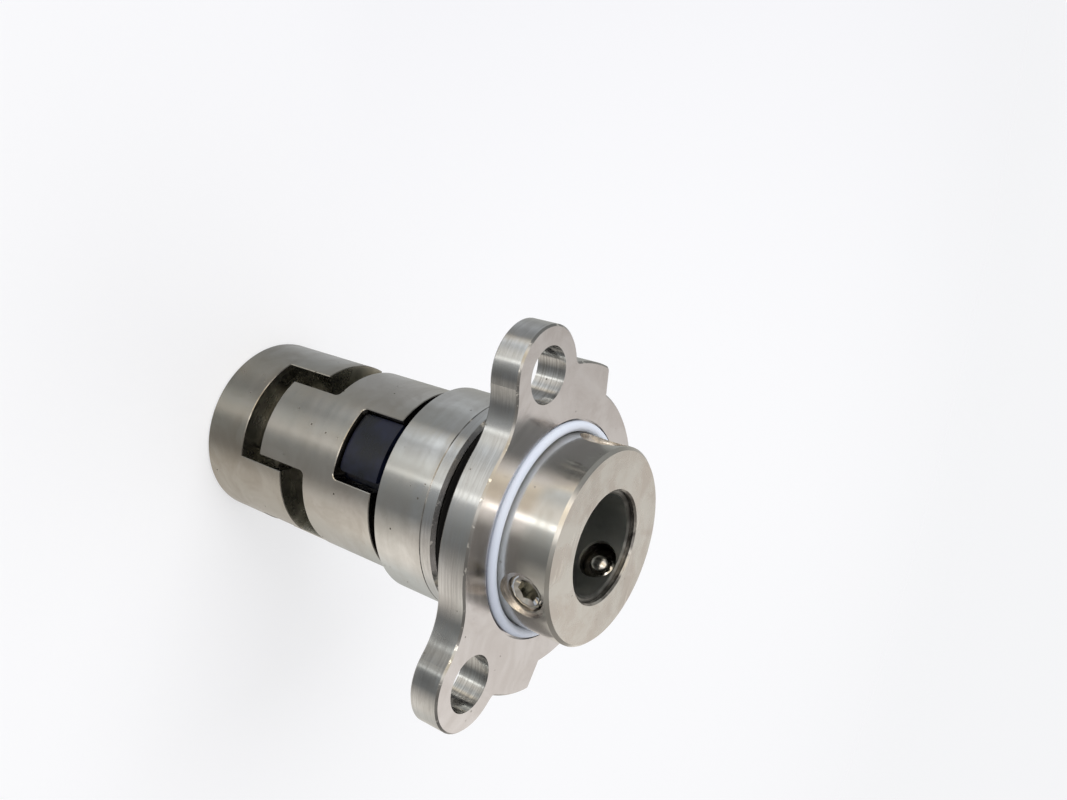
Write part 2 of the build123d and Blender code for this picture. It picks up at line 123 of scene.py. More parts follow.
def lathe_marks_group():
    """Fine rings left by turning: they run round the shaft axis, on faces and on cylinders alike."""
    g = bpy.data.node_groups.new("lathe_marks", "ShaderNodeTree")
    new_sockets(g, {"Marks per mm": 9.0, "Break up": 1.0}, ("Height", "Streak"))
    inp, out = g.nodes.new("NodeGroupInput"), g.nodes.new("NodeGroupOutput")
    xyz = node(g, "ShaderNodeSeparateXYZ", {0: node(g, "ShaderNodeTexCoord").outputs["Object"]})
    radius = from_axis(g, xyz)
    density = times(g, inp.outputs[0], 1000.0)
    cos_t = times(g, maths(g, "DIVIDE", xyz.outputs[0], radius), inp.outputs[1])
    sin_t = times(g, maths(g, "DIVIDE", xyz.outputs[1], radius), inp.outputs[1])
    across = node(g, "ShaderNodeCombineXYZ", {0: times(g, radius, density),
                                              1: times(g, xyz.outputs[2], density), 2: cos_t})
    fine = node(g, "ShaderNodeTexNoise", {"Vector": across.outputs[0], "W": sin_t, "Scale": 1.0, "Detail": 3.0,
                                          "Roughness": 0.6}, noise_dimensions="4D")
    wide = node(g, "ShaderNodeVectorMath", {0: across.outputs[0], 1: (0.16, 0.16, 1.6)}, operation="MULTIPLY")
    broad = node(g, "ShaderNodeTexNoise", {"Vector": wide.outputs[0], "W": times(g, sin_t, 1.6), "Scale": 1.0,
                                           "Detail": 2.0, "Roughness": 0.5}, noise_dimensions="4D")
    height = plus(g, times(g, fine.outputs[0], 0.7), times(g, broad.outputs[0], 0.3))
    g.links.new(height, out.inputs[0])
    g.links.new(remap(g, broad.outputs[0], 0.32, 0.68), out.inputs[1])
    return g


def handling_group():
    """What handling leaves on metal: faint smudges, dark pits, thin scratches and a wandering tint."""
    g = bpy.data.node_groups.new("handling", "ShaderNodeTree")
    new_sockets(g, {"Pits": 0.5, "Scratches": 0.5}, ("Smudge", "Pit", "Scratch", "Tint"))
    inp, out = g.nodes.new("NodeGroupInput"), g.nodes.new("NodeGroupOutput")
    place = node(g, "ShaderNodeTexCoord").outputs["Object"]
    smudge = node(g, "ShaderNodeTexNoise", {"Vector": place, "Scale": 130.0, "Detail": 4.0, "Roughness": 0.6,
                                            "Distortion": 0.6})
    g.links.new(remap(g, smudge.outputs[0], 0.35, 0.68), out.inputs[0])
    askew = node(g, "ShaderNodeMapping", {"Vector": place, "Rotation": (0.6, 0.9, 0.3)}).outputs[0]
    cells = node(g, "ShaderNodeTexVoronoi", {"Vector": askew, "Scale": 420.0, "Randomness": 1.0})
    rare = node(g, "ShaderNodeTexNoise", {"Vector": place, "Scale": 330.0, "Detail": 1.0})
    spot = times(g, remap(g, cells.outputs["Distance"], 0.10, 0.04), remap(g, rare.outputs[0], 0.50, 0.56))
    g.links.new(times(g, spot, inp.outputs[0]), out.inputs[1])
    thin = []
    for turned, stretched in (((0.5, 0.9, 0.35), (45.0, 900.0, 500.0)),
                              ((1.9, 0.3, 1.2), (60.0, 1100.0, 700.0))):
        drawn = node(g, "ShaderNodeMapping", {"Vector": place, "Rotation": turned, "Scale": stretched})
        lines = node(g, "ShaderNodeTexNoise", {"Vector": drawn.outputs[0], "Scale": 1.0, "Detail": 1.0,
                                               "Distortion": 0.2})
        off_middle = maths(g, "ABSOLUTE", minus(g, lines.outputs[0], 0.5))
        thin.append(minus(g, 1.0, times(g, off_middle, 45.0), clamp=True))
    patchy = remap(g, smudge.outputs[0], 0.52, 0.68)
    scratch = times(g, maths(g, "MAXIMUM", *thin), patchy)
    g.links.new(times(g, scratch, inp.outputs[1]), out.inputs[2])
    wander = node(g, "ShaderNodeTexNoise", {"Vector": place, "Scale": 75.0, "Detail": 2.0, "Distortion": 0.4})
    g.links.new(remap(g, wander.outputs[0], 0.35, 0.65), out.inputs[3])
    return g


def recess_shade_group():
    """How deep a point lies under the outside of a ring, for the painted shade in notches, windows, holes and
    bores.
    """
    g = bpy.data.node_groups.new("painted_recess_shade", "ShaderNodeTree")
    new_sockets(g, {"Skin radius": 0.0156, "Lowest": -1.0, "Highest": 1.0}, ("Inside", "Patches"))
    inp, out = g.nodes.new("NodeGroupInput"), g.nodes.new("NodeGroupOutput")
    place = node(g, "ShaderNodeTexCoord").outputs["Object"]
    xyz = node(g, "ShaderNodeSeparateXYZ", {0: place})
    under = minus(g, inp.outputs[0], from_axis(g, xyz))
    between = times(g, maths(g, "GREATER_THAN", xyz.outputs[2], inp.outputs[1]),
                    maths(g, "LESS_THAN", xyz.outputs[2], inp.outputs[2]))
    g.links.new(times(g, remap(g, under, 0.0, 1.2e-4), between), out.inputs[0])
    # Patches between the painted shade's dark and light tones; where the light tone is bright, they stand in
    # for glints.
    shade_patches = node(g, "ShaderNodeTexNoise", {"Vector": place, "Scale": 380.0, "Detail": 3.0, "Distortion": 0.6})
    g.links.new(remap(g, shade_patches.outputs[0], 0.32, 0.72), out.inputs[1])
    return g


lathe_marks, handling, painted_recess_shade = lathe_marks_group(), handling_group(), recess_shade_group()


def dress(node_name, material):
    """Give a piece its one material."""
    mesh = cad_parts[node_name].data
    mesh.materials.clear()
    mesh.materials.append(material)


EAR_AT, EAR_ROUND, EAR_HOLE = 0.0265, 0.0075, 0.0044    # bolt circle, an ear's outer round and its hole
RIM_FROM, RIM_TO = 0.0226, 0.0231                       # an ear's side leaves the rim between these radii
SIDE_PATCH_AT, SIDE_PATCH_FADES, SIDE_PATCH_FULL = (0.0193, -0.0203, 0.0025), 4.6e-3, 2.4e-3
FAR = 1.0                                               # further up or down than any piece reaches


def faced_front(t, place, colour, faced, hand, base, rough):
    """Matt, mottled metal above the height at which the piece is faced off."""
    up = node(t, "ShaderNodeSeparateXYZ", {0: place}).outputs[2]
    face = remap(t, up, faced - 3e-5, faced)
    mottle = node(t, "ShaderNodeTexNoise", {"Vector": place, "Scale": 230.0, "Detail": 5.0, "Roughness": 0.55,
                                            "Distortion": 0.5})
    worn = remap(t, mottle.outputs[0], 0.34, 0.68)
    matt = blend_colour(t, worn, tinted(colour, 0.91, 0.92, 0.92), tinted(colour, 0.82, 0.785, 0.765))
    matt = blend_colour(t, times(t, hand.outputs["Scratch"], 0.8), matt, (0.86, 0.84, 0.80, 1.0))
    base = blend_colour(t, face, base, matt)
    rough = plus(t, rough, times(t, face, plus(t, 0.06, times(t, worn, 0.07))))
    return base, rough


def milled_sides(t, place, colour, base, rough, height):
    """The cutter's lines, a dark patch and painted shade on the sides, drill marks in the holes, worn flats,
    and darker chamfers with bright burrs that are partly painted glints.
    """
    up = node(t, "ShaderNodeSeparateXYZ", {0: node(t, "ShaderNodeTexCoord").outputs["Normal"]}).outputs[2]
    lean = maths(t, "ABSOLUTE", up)
    side = remap(t, lean, 0.55, 0.35)
    drawn = node(t, "ShaderNodeMapping", {"Vector": place, "Scale": (130.0, 130.0, 4200.0)}).outputs[0]
    lines = node(t, "ShaderNodeTexNoise", {"Vector": drawn, "Scale": 1.0, "Detail": 3.0, "Roughness": 0.65})
    cut = remap(t, lines.outputs[0], 0.38, 0.66)
    base = blend_colour(t, times(t, side, times(t, cut, 0.24)), base, tinted(colour, 0.66))
    rough = plus(t, rough, times(t, side, times(t, cut, 0.07)))
    xyz = node(t, "ShaderNodeSeparateXYZ", {0: place})
    radius = from_axis(t, xyz)
    off_ear = maths(t, "PINGPONG", minus(t, maths(t, "ARCTAN2", xyz.outputs[1], xyz.outputs[0]),
                                         math.pi / 2), math.pi / 3)
    to_hole = maths(t, "SQRT", minus(t, plus(t, maths(t, "POWER", radius, 2.0), EAR_AT ** 2),
                                     times(t, times(t, radius, 2 * EAR_AT),
                                           maths(t, "COSINE", off_ear))))
    # Where an ear's flank leaves the rim it is painted darker: painted shade in the corner.
    corner = times(t, remap(t, to_hole, EAR_ROUND + 1e-4, EAR_ROUND + 1e-3),
                   times(t, side, remap(t, radius, RIM_FROM, RIM_TO)))
    base = blend_colour(t, times(t, corner, 0.22), base, tinted(colour, 0.66))
    rough = plus(t, rough, times(t, corner, 0.04))
    bored = times(t, side, remap(t, to_hole, EAR_HOLE + 4e-4, EAR_HOLE + 1e-4))
    base = blend_colour(t, times(t, bored, plus(t, 0.04, times(t, cut, 0.46))), base,
                        tinted(colour, 0.50, 0.475, 0.44))
    # A dark patch on the sides beside two ears, mirrored across x = 0 and stronger towards +X.
    beside = node(t, "ShaderNodeCombineXYZ", {0: maths(t, "ABSOLUTE", xyz.outputs[0]), 1: xyz.outputs[1],
                                              2: xyz.outputs[2]}).outputs[0]
    off_side_patch = node(t, "ShaderNodeVectorMath", {0: beside, 1: SIDE_PATCH_AT},
                     operation="DISTANCE").outputs["Value"]
    side_patch = times(t, remap(t, off_side_patch, SIDE_PATCH_FADES, SIDE_PATCH_FULL), side)
    side_patch = times(t, side_patch, plus(t, 0.70, times(t, cut, 0.08)))
    side_patch = times(t, side_patch, remap(t, xyz.outputs[0], -0.01, 0.01, 0.45, 1.0))
    base = blend_colour(t, side_patch, base, tinted(colour, 0.27))
    height = plus(t, height, times(t, side, times(t, lines.outputs[0], 1.25)))
    blotch = node(t, "ShaderNodeTexNoise", {"Vector": place, "Scale": 140.0, "Detail": 5.0, "Roughness": 0.6,
                                            "Distortion": 0.7})
    flat = remap(t, lean, 0.97, 0.99)
    worn = times(t, flat, remap(t, blotch.outputs[0], 0.36, 0.68))
    base = blend_colour(t, flat, base, tinted(colour, 0.96, 0.945, 0.975))
    base = blend_colour(t, times(t, worn, 0.7), base, tinted(colour, 0.80, 0.765, 0.77))
    rough = plus(t, rough, times(t, worn, 0.06))
    # The chamfers are painted darker, and the bright burrs on them are partly real nicks and partly painted
    # glints.
    edge = times(t, remap(t, lean, 0.35, 0.55), remap(t, lean, 0.97, 0.90))
    burr_and_glint = node(t, "ShaderNodeTexNoise", {"Vector": place, "Scale": 620.0, "Detail": 4.0, "Roughness": 0.7})
    base = blend_colour(t, times(t, edge, 0.7), base, tinted(colour, 0.45))
    base = blend_colour(t, times(t, edge, remap(t, burr_and_glint.outputs[0], 0.57, 0.64)), base, (0.9, 0.9, 0.88, 1.0))
    return base, rough, height


def dulled_edges(t, place, colour, base):
    """Darken the broken edges of a turned piece in patches."""
    lean = maths(t, "ABSOLUTE", node(t, "ShaderNodeSeparateXYZ", {
        0: node(t, "ShaderNodeTexCoord").outputs["Normal"]}).outputs[2])
    edge = times(t, remap(t, lean, 0.10, 0.30), remap(t, lean, 0.99, 0.95))
    nicks = node(t, "ShaderNodeTexNoise", {"Vector": place, "Scale": 520.0, "Detail": 4.0, "Roughness": 0.7})
    dulled = plus(t, 0.45, times(t, remap(t, nicks.outputs[0], 0.60, 0.46), 0.45))
    return blend_colour(t, times(t, edge, dulled), base, tinted(colour, 0.38))


def turned_steel(name, colour, roughness, marks=9.0, depth=1.2e-6, spread=0.05, swirl=0.6, pits=0.5,
                 scratches=0.4, soiled=0.35, recesses=(), faced=None, milled=False, worn_edges=False):
    """Stainless steel finished on the lathe, its gloss drawn out across the fine rings.

    soiled: how dark the smudges are; recesses: (skin radius, lowest, highest, dark shade, light shade) of each
    zone under the skin that is painted in patches between a dark and a light tone, as painted shade; faced:
    height above which the piece is faced off dull; milled: its sides show the cutter's lines; worn_edges: its
    broken edges are dulled in patches."""
    m = bpy.data.materials.new(name)
    m.use_nodes = True
    t = m.node_tree
    steel = t.nodes["Principled BSDF"]
    rings = node(t, "ShaderNodeGroup", node_tree=lathe_marks)
    rings.inputs[0].default_value = marks
    hand = node(t, "ShaderNodeGroup", node_tree=handling)
    hand.inputs[0].default_value, hand.inputs[1].default_value = pits, scratches
    cool = tinted(colour, 0.965, 0.985, 0.975)
    dull = tinted(colour, 0.83, 0.81, 0.78)
    base = blend_colour(t, hand.outputs["Tint"], (*colour, 1.0), cool)
    base = blend_colour(t, times(t, rings.outputs["Streak"], 0.22), base, dull)
    grimy = tinted(colour, 0.72, 0.69, 0.64)
    base = blend_colour(t, times(t, hand.outputs["Smudge"], soiled), base, grimy)
    rough = plus(t, roughness - spread / 2, times(t, rings.outputs["Streak"], spread))
    rough = plus(t, rough, times(t, hand.outputs["Smudge"], spread))
    height = minus(t, rings.outputs["Height"], times(t, hand.outputs["Scratch"], 0.9))
    place = node(t, "ShaderNodeTexCoord").outputs["Object"]
    if faced is not None:
        base, rough = faced_front(t, place, colour, faced, hand, base, rough)
    # Each zone under the skin is painted with shade, in patches between its dark and its light tone.
    for *limits, dark_shade, light_shade in recesses:
        deep = node(t, "ShaderNodeGroup", node_tree=painted_recess_shade)
        for socket, value in zip(deep.inputs, limits):
            socket.default_value = value
        painted_shade = blend_colour(t, deep.outputs["Patches"], (*dark_shade, 1.0), (*light_shade, 1.0))
        base = blend_colour(t, deep.outputs["Inside"], base, painted_shade)
        rough = plus(t, rough, times(t, deep.outputs["Inside"], 0.05))
    if milled:
        base, rough, height = milled_sides(t, place, colour, base, rough, height)
    if worn_edges:
        base = dulled_edges(t, place, colour, base)
    base = blend_colour(t, hand.outputs["Pit"], base, (0.13, 0.12, 0.105, 1.0))
    rough = plus(t, rough, times(t, hand.outputs["Pit"], 0.3))
    height = minus(t, height, times(t, hand.outputs["Pit"], 3.0))
    t.links.new(base, steel.inputs["Base Color"])
    t.links.new(rough, steel.inputs["Roughness"])
    bump = node(t, "ShaderNodeBump", {"Height": height, "Distance": depth, "Strength": 1.0})
    t.links.new(bump.outputs[0], steel.inputs["Normal"])
    steel.inputs["Metallic"].default_value = 1.0
    steel.inputs["Anisotropic"].default_value = swirl
    steel.inputs["Anisotropic Rotation"].default_value = 0.25
    round_axis = node(t, "ShaderNodeVectorMath", {0: (0.0, 0.0, 1.0), 1: place}, operation="CROSS_PRODUCT")
    along = node(t, "ShaderNodeVectorMath", {0: round_axis.outputs[0]}, operation="NORMALIZE")
    t.links.new(along.outputs[0], steel.inputs["Tangent"])
    return m


dress("gland_flange", turned_steel("gland_steel", (0.64, 0.645, 0.65), 0.13, marks=5.0, depth=1.1e-6,
                                   spread=0.05, swirl=0.65, pits=0.6, scratches=0.8, soiled=0.3, milled=True))


# ---- Seat housing ----
# The plain ring below the plate that holds the stationary seat and enters the pump cover's bore. Turned from
# stainless bar to a brighter finish than the plate, and pushed on the plate's spigot.
dress("seat_housing", turned_steel("housing_steel", (0.645, 0.645, 0.64), 0.12, marks=4.0, depth=0.9e-6,
                                   swirl=0.75, pits=0.9, worn_edges=True))


# ---- O-rings ----
# Black moulded rubber. The largest seals the plate's neck in the pump cover; the others sit in the seat's
# groove, in the drive ring's groove and behind the rotating face, and are held by their own squeeze.
def moulded_rubber(name):
    m = bpy.data.materials.new(name)
    m.use_nodes = True
    t = m.node_tree
    rubber = t.nodes["Principled BSDF"]
    place = node(t, "ShaderNodeTexCoord").outputs["Object"]
    grain = node(t, "ShaderNodeTexNoise", {"Vector": place, "Scale": 2600.0, "Detail": 4.0, "Roughness": 0.6})
    dust = node(t, "ShaderNodeTexNoise", {"Vector": place, "Scale": 350.0, "Detail": 5.0, "Roughness": 0.7})
    dusty = remap(t, dust.outputs[0], 0.55, 0.80)
    # The black is painted darker than the rubber's own, partly a painted shade for the O-rings deep in their
    # gaps.
    clean_and_shaded, grey = (0.004, 0.004, 0.004, 1.0), (0.022, 0.021, 0.020, 1.0)
    t.links.new(blend_colour(t, times(t, dusty, 0.25), clean_and_shaded, grey), rubber.inputs["Base Color"])
    t.links.new(plus(t, 0.72, times(t, dusty, 0.15)), rubber.inputs["Roughness"])
    bump = node(t, "ShaderNodeBump", {"Height": grain.outputs[0], "Distance": 6e-6, "Strength": 0.6})
    t.links.new(bump.outputs[0], rubber.inputs["Normal"])
    rubber.inputs["Specular IOR Level"].default_value = 0.08
    return m


black_rubber = moulded_rubber("ring_rubber")
for ring in ("housing_o_ring", "seat_o_ring", "shaft_o_ring", "face_o_ring"):
    dress(ring, black_rubber)


# ---- Stationary seat and rotating face ----
# The two hard rings that run on each other: dark blue-grey ceramic, ground all over and lapped to a soft
# gloss. A pin holds the seat against turning; three lugs on the face stand in the carrier's windows.
def ground_ceramic(name, colour, cloudy):
    m = bpy.data.materials.new(name)
    m.use_nodes = True
    t = m.node_tree
    ceramic = t.nodes["Principled BSDF"]
    place = node(t, "ShaderNodeTexCoord").outputs["Object"]
    cloud = node(t, "ShaderNodeTexNoise", {"Vector": place, "Scale": 190.0, "Detail": 3.0, "Roughness": 0.55})
    grain = node(t, "ShaderNodeTexNoise", {"Vector": place, "Scale": 5200.0, "Detail": 3.0})
    lines = node(t, "ShaderNodeGroup", {0: 12.0, 1: 0.6}, node_tree=lathe_marks)
    tone = plus(t, times(t, remap(t, cloud.outputs[0], 0.38, 0.66), 0.75),
                times(t, lines.outputs["Streak"], 0.15))
    t.links.new(blend_colour(t, tone, colour, cloudy), ceramic.inputs["Base Color"])
    t.links.new(plus(t, 0.26, times(t, tone, 0.12)), ceramic.inputs["Roughness"])
    height = plus(t, times(t, grain.outputs[0], 0.6), times(t, lines.outputs["Height"], 0.5))
    bump = node(t, "ShaderNodeBump", {"Height": height, "Distance": 8e-7, "Strength": 1.0})
    t.links.new(bump.outputs[0], ceramic.inputs["Normal"])
    ceramic.inputs["IOR"].default_value = 1.52
    return m


face_ceramic = ground_ceramic("face_ceramic", (0.0025, 0.0045, 0.0085, 1.0), (0.0075, 0.0115, 0.037, 1.0))
dress("stationary_seat", face_ceramic)
dress("rotating_face", face_ceramic)
dress("seat_pin", turned_steel("pin_steel", (0.58, 0.57, 0.55), 0.28, marks=12.0))


# ---- Centring ring ----
# A soft white fluoropolymer ring with a faint blue cast. It lies half sunk in the plate's shallow recess and
# keeps the collar centred until the seal is fitted.
def white_polymer():
    m = bpy.data.materials.new("ring_white")
    m.use_nodes = True
    t = m.node_tree
    ring = t.nodes["Principled BSDF"]
    place = node(t, "ShaderNodeTexCoord").outputs["Object"]
    cloud = node(t, "ShaderNodeTexNoise", {"Vector": place, "Scale": 90.0, "Detail": 3.0})
    scuff = node(t, "ShaderNodeTexNoise", {"Vector": place, "Scale": 900.0, "Detail": 5.0, "Roughness": 0.7})
    scuffed = remap(t, scuff.outputs[0], 0.60, 0.74)
    pale, deeper = (0.83, 0.885, 0.99, 1.0), (0.78, 0.84, 0.97, 1.0)
    colour = blend_colour(t, remap(t, cloud.outputs[0], 0.35, 0.65), pale, deeper)
    t.links.new(blend_colour(t, times(t, scuffed, 0.2), colour, (0.60, 0.60, 0.62, 1.0)),
                ring.inputs["Base Color"])
    t.links.new(plus(t, 0.34, times(t, scuffed, 0.2)), ring.inputs["Roughness"])
    bump = node(t, "ShaderNodeBump", {"Height": scuff.outputs[0], "Distance": 6e-6, "Strength": 0.6})
    t.links.new(bump.outputs[0], ring.inputs["Normal"])
    return m


dress("centring_ring", white_polymer())


# ---- Sleeve ----
# The thin tube that carries the whole cartridge on the pump shaft. Rolled and reamed stainless, duller inside,
# and painted darker in the bore at its front end, a painted shade; pressed in the collar and the drive ring.
SLEEVE_END = (0.0092, 0.0128, FAR, (0.12, 0.12, 0.116), (0.24, 0.24, 0.232))
dress("shaft_sleeve", turned_steel("sleeve_steel", (0.70, 0.72, 0.715), 0.32, marks=5.0, swirl=0.2,
                                   recesses=(SLEEVE_END,)))


# ---- Lock collar ----
# The thick ring in front that clamps the sleeve on the shaft through three set screws. Turned from bar to a
# bright finish round its outside, and faced off matt in front.
FRONT_FACE = 0.014
# The screw holes' walls under the skin are painted in patches darker and lighter than the steel: painted shade
# and painted highlights.
HOLE_WALLS = (0.01545, 0.0054, 0.0136, (0.44, 0.42, 0.40), (0.82, 0.79, 0.755))
# Deeper in the screw holes the metal is painted nearly black: painted shade.
HOLE_DEPTHS = (0.0125, 0.0054, 0.0126, (0.05, 0.048, 0.044), (0.12, 0.115, 0.105))
# The bore's rim is painted dark with bright patches: painted shade with painted glints.
BORE_RIM = (0.0095, 0.0126, 0.01398, (0.16, 0.145, 0.135), (0.62, 0.60, 0.57))
dress("lock_collar", turned_steel("collar_steel", (0.64, 0.635, 0.62), 0.15, marks=5.0, depth=0.7e-6,
                                  swirl=0.75, pits=0.4, scratches=0.9, faced=FRONT_FACE,
                                  recesses=(HOLE_WALLS, HOLE_DEPTHS, BORE_RIM)))


# ---- Set screws ----
# Three M6 stainless grub screws with a hexagon socket, turned in through the collar and the sleeve until
# their points press on the shaft. The thread is rolled; the socket and the point are painted darker, a painted
# shade.
def grub_screw_tree():
    """Screw along +Z from its point at 0: a rolled thread whose rows follow the helix, both ends closed."""
    g = bpy.data.node_groups.new("grub_screw", "GeometryNodeTree")
    g.interface.new_socket("Geometry", in_out="OUTPUT", socket_type="NodeSocketGeometry")
    for name, value in (("Length", 6.2e-3), ("Crest radius", 2.95e-3), ("Thread depth", 5.2e-4),
                        ("Pitch", 1e-3), ("Point ball radius", 1.9e-3), ("Point height", 1.3e-3),
                        ("End break", 3.5e-4), ("Across flats", 3e-3), ("Socket depth", 3e-3),
                        ("Countersink radius", 2.2e-3)):
        socket = g.interface.new_socket(name, in_out="INPUT", socket_type="NodeSocketFloat")
        socket.default_value = value
    g.interface.new_socket("Material", in_out="INPUT", socket_type="NodeSocketMaterial")
    inp, out = g.nodes.new("NodeGroupInput"), g.nodes.new("NodeGroupOutput")
    size = {s.name: s for s in inp.outputs if s.name}

    def ramp(value, low, high, rise):
        """Straight rise between two places, level before and after."""
        return node(g, "ShaderNodeMapRange", {"Value": value, "From Min": low, "From Max": high, "To Min": 0.0,
                                              "To Max": rise}).outputs[0]

    rows, around, rows_per_turn = 93, 49, 10
    shoulder_rise, shoulder_width = 6e-4, 1.2e-3    # from the ball out to the thread
    sink_depth, sink_flare = 1.4e-3, 1e-3           # the countersink's cone, half of it above the end
    weld, crease = 2e-6, math.radians(32)
    sheet = node(g, "GeometryNodeMeshGrid", {"Size X": 1.0, "Size Y": 1.0, "Vertices X": rows,
                                             "Vertices Y": around})
    xyz = node(g, "ShaderNodeSeparateXYZ", {0: node(g, "GeometryNodeInputPosition").outputs[0]})
    pitch = size["Pitch"]
    span = times(g, pitch, (rows - 1) / rows_per_turn)
    row = minus(g, times(g, plus(g, xyz.outputs[0], 0.5), span), times(g, pitch, 2.0))
    turn = plus(g, xyz.outputs[1], 0.5)
    along = plus(g, row, times(g, pitch, turn))
    flank = maths(g, "ABSOLUTE", minus(g, maths(g, "FRACT", maths(g, "DIVIDE", row, pitch)), 0.5))
    root = minus(g, size["Crest radius"], size["Thread depth"])
    thread = plus(g, root, ramp(flank, 0.10, 0.44, size["Thread depth"]))
    blunt = minus(g, size["Crest radius"], size["End break"])
    ball_top = maths(g, "SQRT", times(g, size["Point height"], minus(
        g, times(g, size["Point ball radius"], 2.0), size["Point height"])))
    over_tip = maths(g, "MINIMUM", maths(g, "MAXIMUM", along, 0.0), size["Point height"])
    limit = maths(g, "SQRT", times(g, over_tip, minus(g, times(g, size["Point ball radius"], 2.0), over_tip)))
    steps = ((size["Point height"], plus(g, size["Point height"], shoulder_rise), shoulder_width),
             (minus(g, size["Length"], size["End break"]), size["Length"],
              minus(g, blunt, plus(g, shoulder_width, ball_top))),
             (size["Length"], plus(g, size["Length"], pitch), times(g, blunt, -1.0)))
    for low, high, rise in steps:
        limit = plus(g, limit, ramp(along, low, high, rise))
    radius = maths(g, "MAXIMUM", maths(g, "MINIMUM", thread, limit), 0.0)
    angle = times(g, turn, 2 * math.pi)
    up = maths(g, "MINIMUM", maths(g, "MAXIMUM", along, 0.0), size["Length"])
    place = node(g, "ShaderNodeCombineXYZ", {0: times(g, radius, maths(g, "COSINE", angle)),
                                             1: times(g, radius, maths(g, "SINE", angle)), 2: up})
    moved = node(g, "GeometryNodeSetPosition", {"Geometry": sheet.outputs[0], "Position": place.outputs[0]})
    closed = node(g, "GeometryNodeMergeByDistance", {"Geometry": moved.outputs[0], "Distance": weld})
    outward = node(g, "GeometryNodeFlipFaces", {0: closed.outputs[0]})
    bar = node(g, "GeometryNodeMeshCylinder", {
        "Vertices": 6, "Radius": maths(g, "DIVIDE", size["Across flats"], math.sqrt(3)),
        "Depth": times(g, size["Socket depth"], 2.0)})
    lift = node(g, "ShaderNodeCombineXYZ", {2: size["Length"]})
    punch = node(g, "GeometryNodeTransform", {"Geometry": bar.outputs[0], "Translation": lift.outputs[0]})
    cone = node(g, "GeometryNodeMeshCone", {
        "Vertices": 64, "Radius Top": plus(g, size["Countersink radius"], sink_flare),
        "Radius Bottom": minus(g, size["Countersink radius"], sink_flare), "Depth": sink_depth})
    sunk = node(g, "GeometryNodeTransform", {"Geometry": cone.outputs[0], "Translation": node(
        g, "ShaderNodeCombineXYZ", {2: minus(g, size["Length"], sink_depth / 2)}).outputs[0]})
    opened = node(g, "GeometryNodeMeshBoolean", {"Mesh 1": outward.outputs[0], "Mesh 2": sunk.outputs[0]},
                  operation="DIFFERENCE", solver="EXACT")
    cut = node(g, "GeometryNodeMeshBoolean", {"Mesh 1": opened.outputs[0], "Mesh 2": punch.outputs[0]},
               operation="DIFFERENCE", solver="EXACT")
    bend = node(g, "GeometryNodeInputMeshEdgeAngle").outputs[0]
    sharp = maths(g, "GREATER_THAN", bend, crease)
    soft = node(g, "GeometryNodeSetShadeSmooth", {"Geometry": cut.outputs[0], "Shade Smooth": True})
    crisp = node(g, "GeometryNodeSetShadeSmooth", {"Geometry": soft.outputs[0], "Selection": sharp,
                                                   "Shade Smooth": False}, domain="EDGE")
    real = node(g, "GeometryNodeRealizeInstances", {"Geometry": crisp.outputs[0]})
    dressed = node(g, "GeometryNodeSetMaterial", {"Geometry": real.outputs[0], "Material": size["Material"]})
    g.links.new(dressed.outputs[0], out.inputs[0])
    return g


SCREW_COUNT, SCREW_TIP, SCREW_HEIGHT, FIRST_SCREW = 3, 0.0082, 0.0096, 62.5
# The socket and the point are painted darker than the screw: painted shade.
SOCKET = (0.0138, -FAR, FAR, (0.44, 0.435, 0.395), (0.62, 0.61, 0.565))
POINT = (0.0100, -FAR, FAR, (0.56, 0.55, 0.53), (0.72, 0.71, 0.69))
# The screws' steel is painted lighter than the other steel, partly a painted highlight.
screw_steel = turned_steel("screw_steel", (0.84, 0.82, 0.79), 0.08, marks=3.0, depth=1.6e-6, swirl=0.0,
                           pits=0.2, recesses=(SOCKET, POINT))
tree = grub_screw_tree()
for k in range(SCREW_COUNT):
    blank = bpy.data.meshes.new("screw_blank")
    maker = bpy.data.objects.new(f"screw_maker_{k + 1}", blank)
    bpy.context.collection.objects.link(maker)
    cutter = maker.modifiers.new("grub_screw", "NODES")
    cutter.node_group = tree
    for item in tree.interface.items_tree:
        if item.in_out == "INPUT" and item.name == "Material":
            cutter[item.identifier] = screw_steel
    made = bpy.data.meshes.new_from_object(maker.evaluated_get(bpy.context.evaluated_depsgraph_get()))
    maker.modifiers.clear()
    bpy.data.objects.remove(maker)
    made.transform(Matrix.Rotation(math.radians(FIRST_SCREW + 360 / SCREW_COUNT * k), 4, "Z")
                   @ Matrix.Translation((SCREW_TIP, 0, SCREW_HEIGHT)) @ Matrix.Rotation(math.pi / 2, 4, "Y"))
    screw = bpy.data.objects.new(f"grub_screw_{k + 1}", made)
    bpy.context.collection.objects.link(screw)
    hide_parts(f"set_screw_{k + 1}")
    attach(screw, f"screw_{k + 1}")


# ---- Drive ring ----
# The thick ring at the bottom, fast on the sleeve. Three dogs stand up between its milled notches and hand
# the drive on to the carrier's dogs. Turned stainless with a darker, slightly oiled look.
RING_SKIN = 0.01561
# The notches' walls are painted dark in patches: painted shade.
NOTCH_SHADE = ((0.265, 0.265, 0.235), (0.39, 0.385, 0.345))
NOTCHES = (RING_SKIN, cad_box[0].z + 2e-4, FAR, *NOTCH_SHADE)
dress("drive_ring", turned_steel("drive_steel", (0.56, 0.54, 0.505), 0.20, marks=4.0, depth=1.2e-6, swirl=0.6,
                                 pits=1.0, scratches=0.9, soiled=0.75, worn_edges=True, recesses=(NOTCHES,)))


# ---- Face carrier ----
# The cup that holds the rotating face. Its lower dogs mesh with the drive ring's, and three windows in its
# rim take the face's lugs. Turned, then milled, with the edges lightly broken.
CUP_FLOOR = -0.0295
